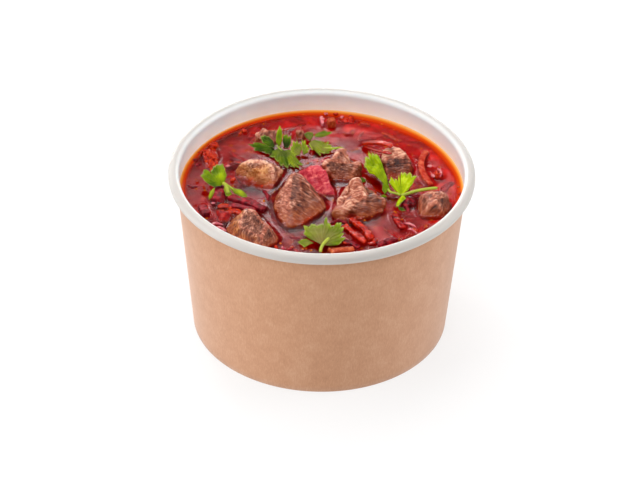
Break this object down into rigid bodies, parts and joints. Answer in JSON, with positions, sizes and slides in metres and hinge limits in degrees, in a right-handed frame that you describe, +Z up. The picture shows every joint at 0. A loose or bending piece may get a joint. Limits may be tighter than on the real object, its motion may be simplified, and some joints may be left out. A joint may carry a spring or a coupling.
{
  "type": "borscht in a paper cup",
  "caption": "Beetroot soup with beef, vegetables and parsley, in a wide round paper cup with a rolled rim.",
  "frame": {"origin": "middle of the cup's foot, in the plane of the table", "axes": "+Z up along the cup's axis; -Y is the side it is served from, +X to the right of it"},
  "size_m": [0.118, 0.118, 0.0699],
  "materials": {
    "paperboard": "brown uncoated paperboard, matte, with a fine fibre grain",
    "lining": "white paperboard with a thin clear coating, satin",
    "broth": "dark red clear soup with a little fat on it, wet gloss",
    "beef": "boiled beef, fibrous, moist",
    "beet": "boiled beetroot, moist",
    "tomato": "stewed tomato, moist",
    "pepper": "boiled red pepper, moist",
    "carrot": "boiled carrot, moist",
    "onion": "boiled onion stained by the beetroot, translucent",
    "parsley": "fresh flat parsley, satin"
  },
  "bodies": {
    "root": {"cup_wall": "paperboard", "cup_bottom": "lining", "broth": "broth", "beef_centre": "beef", "beef_front_left": "beef", "beef_centre_right": "beef", "beef_back_centre": "beef", "beef_right_back": "beef", "beef_right_front": "beef", "beef_left": "beef", "beef_back_left": "beef", "beef_back_bit": "beef", "beet_wedge": "beet", "tomato_left": "tomato", "beet_slab_left": "beet", "pepper_left": "pepper", "beet_cube_right": "beet", "tomato_right": "tomato", "tomato_back": "tomato", "beet_strip_left_a": "beet", "beet_strip_left_b": "beet", "beet_end_left": "beet", "pepper_front_a": "pepper", "pepper_front_b": "pepper", "pepper_back": "pepper", "pepper_right": "pepper", "carrot_curl": "carrot", "carrot_front": "carrot", "carrot_back": "carrot", "beet_front": "beet", "beet_rim": "beet", "onion_back": "onion", "parsley_right": "parsley", "parsley_front": "parsley", "parsley_left": "parsley", "parsley_back": "parsley"}
  },
  "joints": []
}
